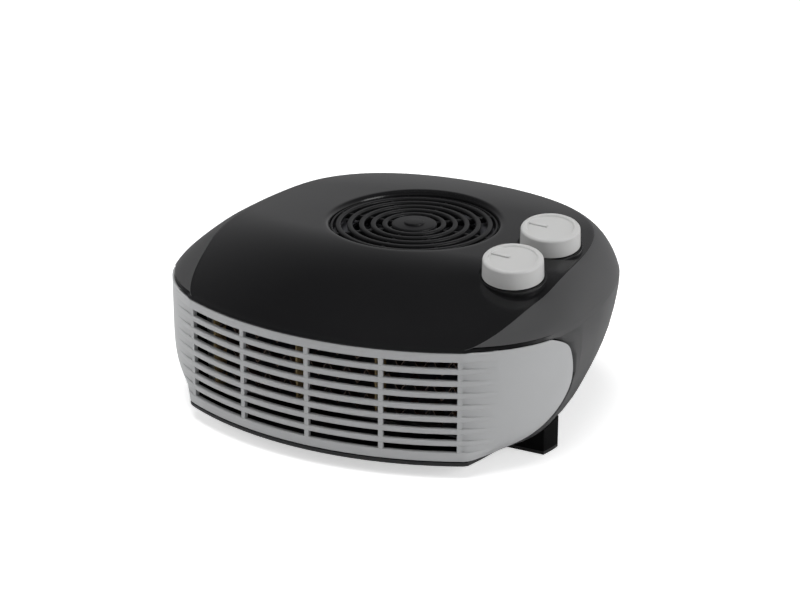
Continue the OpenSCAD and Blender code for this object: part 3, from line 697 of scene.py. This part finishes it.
pieces = [ring(outer_r, outer_r - 0.0014, flange_z, face_z - 0.0012, 0.0005),
          ring(intake_r + 0.005, outer_r - 0.001, flange_z, collar_z, 0.0005)]
for k in range(intake_rings):
    r = hub_r + (k + 0.5) * ring_pitch + 0.0004
    pieces.append(ring(r + ring_w / 2, r - ring_w / 2, face_z - 0.003, face_z - 0.0004, 0.0009))
for k in range(spokes):
    start, end = hub_r - 0.001, outer_r - 0.0008
    bpy.ops.mesh.primitive_cube_add(size=1, location=((start + end) / 2, 0, face_z - 0.00325))
    spoke = bpy.context.object
    spoke.scale = (end - start, spoke_w, spoke_h)
    bpy.ops.object.transform_apply(location=True, rotation=True, scale=True)
    finish_with(spoke, "BEVEL", width=0.0006, segments=3)
    turn = Matrix.Rotation(math.radians(360 / spokes * k), 4, "Z")
    spoke.data.transform(Matrix.Translation(fan_place) @ turn)
    pieces.append(spoke)
pieces.append(upright("hub", hub_r, face_z - 0.005, face_z - 0.0004, 0.0012))
pieces.append(upright("dome", dome_r, face_z - 0.001, face_z + 0.0006, 0.0014))
intake = join(pieces, "intake_guard")
only(intake)
bpy.ops.object.shade_smooth_by_angle(angle=math.radians(35))
guard_black = moulding("guard black", (0.009, 0.009, 0.0095), 0.38, bump=0.06, cloud=0.12,
                       specular=0.25)
intake.data.materials.clear()
intake.data.materials.append(guard_black)
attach(intake, "housing")
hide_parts("intake_grille")

# Knobs.
# Two pale grey dials pushed on to their spindles: a plain drum with a rounded rim, a shallow dish
# in its top and a raised pointer bar.
knob_rim = 0.0018
rim_steps = 6
draft = 0.983
dish_edge = 0.0016
dish_wall = 0.0006
dish_depth = 0.0008
pointer = (0.0112, 0.0022, 0.0019)
pointer_x = -0.0077
knob_grey = moulding("knob grey", (0.52, 0.52, 0.515), 0.36, bump=0.04, cloud=0.04, rub=0.06)
for i, (node, body) in enumerate((("thermostat_knob", "thermostat"), ("power_knob", "power"))):
    dial = round_bar(node + "_dial", Matrix.Identity(4), knob_r, seat_h + 0.0006, knob_h - knob_rim)
    edit_faces(dial, lambda f: f.normal.z > 0.9)
    bpy.ops.transform.resize(value=(draft, draft, 1), center_override=(0, 0, knob_h))
    for k in range(rim_steps):
        start, end = math.pi / 2 * k / rim_steps, math.pi / 2 * (k + 1) / rim_steps
        bpy.ops.mesh.inset(thickness=knob_rim * (math.cos(start) - math.cos(end)))
        bpy.ops.transform.translate(value=(0, 0, knob_rim * (math.sin(end) - math.sin(start))))
    bpy.ops.mesh.inset(thickness=dish_edge)
    bpy.ops.mesh.inset(thickness=dish_wall, depth=-dish_depth)
    bpy.ops.object.mode_set(mode="OBJECT")
    bpy.ops.mesh.primitive_cube_add(size=1, location=(pointer_x, 0, knob_h - dish_depth))
    bar = bpy.context.object
    bar.scale = pointer
    bpy.ops.object.transform_apply(location=True, rotation=True, scale=True)
    finish_with(bar, "BEVEL", width=0.0005, segments=3)
    dial = join([dial, bar], node + "_dial")
    dial.data.transform(on_knob(i))
    only(dial)
    bpy.ops.object.shade_smooth_by_angle(angle=math.radians(32))
    dial.data.materials.clear()
    dial.data.materials.append(knob_grey)
    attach(dial, body)
    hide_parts(node)

# Feet.
# Four black moulded legs, darkened further as painted shade, that stand out below the tucked sides,
# each on a rubber pad.


def dress(name, look):
    """Gives a node of the frame its finish."""
    slots = nodes[name].data.materials
    slots.clear()
    slots.append(look)


rubber = moulding("pad rubber", (0.016, 0.016, 0.016), 0.75, bump=0.2, grain=1500, cloud=0.2)
# The legs are black plastic, darkened further below the shell's black as painted shade for the
# shadow under the body.
leg_black_painted_shade = moulding("leg black painted shade", (0.003, 0.003, 0.0031), 0.65, bump=0.15, cloud=0.1,
                      specular=0.05)
for place in ("front_right", "front_left", "rear_right", "rear_left"):
    leg = merged_copy("foot_" + place, "leg_" + place, 30)
    leg.data.materials.append(leg_black_painted_shade)
    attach(leg, "housing")
    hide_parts("foot_" + place)
    dress("pad_" + place, rubber)

# Blower and motor.
# A grey blower wheel in its scroll under the intake, on a small shaded pole motor.
wheel_grey = moulding("wheel grey", (0.045, 0.046, 0.05), 0.5, bump=0.1)
duct_grey = moulding("duct grey", (0.06, 0.06, 0.066), 0.5, bump=0.15)
steel = moulding("bright steel", (0.55, 0.55, 0.54), 0.32, bump=0.05, grain=300, metallic=1.0)
sheet_steel = moulding("stacked sheets", (0.22, 0.22, 0.23), 0.5, bump=0.4, grain=1800,
                       metallic=0.9)
cast_cage = moulding("cast cage", (0.45, 0.44, 0.42), 0.5, bump=0.2, metallic=1.0)
tape = moulding("winding tape", (0.34, 0.13, 0.03), 0.6, bump=0.3, grain=600, cloud=0.4)
bronze = moulding("oiled bronze", (0.42, 0.27, 0.11), 0.4, bump=0.2, grain=1500, metallic=1.0)
for name in ("wheel_plate", "wheel_blades", "wheel_ring"):
    dress(name, wheel_grey)
for name in ("scroll_housing", "scroll_cover"):
    dress(name, duct_grey)
for name in ("motor_shaft", "upper_bearing_strap", "lower_bearing_strap", "thermostat_spindle",
             "power_spindle", "heater_frame"):
    dress(name, steel)
dress("motor_stator", sheet_steel)
dress("motor_rotor", cast_cage)
dress("motor_coil", tape)
for name in ("upper_bearing", "lower_bearing"):
    dress(name, bronze)

# Heater and wiring.
# Folded ribbon between mica combs in a steel frame, the thermal cut-out and the fuse above it,
# and the ceramic terminal block with its leads to the two controls.
mica = moulding("mica", (0.42, 0.30, 0.13), 0.35, bump=0.1, cloud=0.5)
ribbon = moulding("heating ribbon", (0.24, 0.18, 0.15), 0.45, bump=0.1, metallic=1.0, cloud=0.4)
ceramic = moulding("white ceramic", (0.70, 0.67, 0.58), 0.5, bump=0.08)
phenolic = moulding("brown phenolic", (0.09, 0.045, 0.02), 0.45, bump=0.1, cloud=0.3)
switch_grey = moulding("switch grey", (0.18, 0.18, 0.19), 0.5, bump=0.1)
lead_brown = moulding("lead brown", (0.16, 0.05, 0.02), 0.45, bump=0.05)
zinc = moulding("zinc plate", (0.58, 0.58, 0.57), 0.35, bump=0.1, metallic=1.0)
dress("heater_mica", mica)
dress("heater_ribbon", ribbon)
for name in ("thermal_cutout", "thermal_fuse", "terminal_block"):
    dress(name, ceramic)
dress("thermostat_body", phenolic)
dress("power_switch_body", switch_grey)
dress("supply_leads", lead_brown)
dress("cord_gland", shell_black)
for name in nodes:
    if "screw" in name:
        dress(name, zinc)
